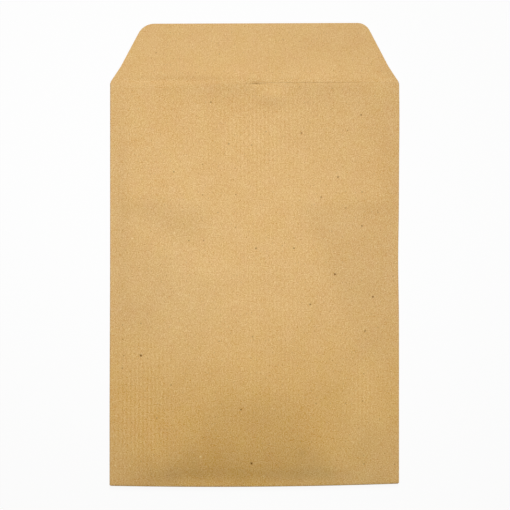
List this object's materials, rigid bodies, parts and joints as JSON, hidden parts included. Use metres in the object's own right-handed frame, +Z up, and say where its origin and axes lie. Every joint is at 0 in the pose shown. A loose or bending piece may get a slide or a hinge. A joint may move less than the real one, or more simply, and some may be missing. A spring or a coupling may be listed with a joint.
{
  "type": "paper envelope",
  "caption": "Light-brown ribbed kraft pocket envelope, one folded and glued sheet, lying open flap up with its front face up.",
  "frame": {"origin": "on the table under the middle of the envelope's outline, open flap included", "axes": "+X to the right as the front face is read, +Y along the height towards the open flap, +Z up through the front face"},
  "size_m": [0.163, 0.2605, 0.0042],
  "materials": {
    "kraft_paper": "matt, faintly ribbed"
  },
  "bodies": {
    "root": {"envelope": "kraft_paper"}
  },
  "joints": []
}
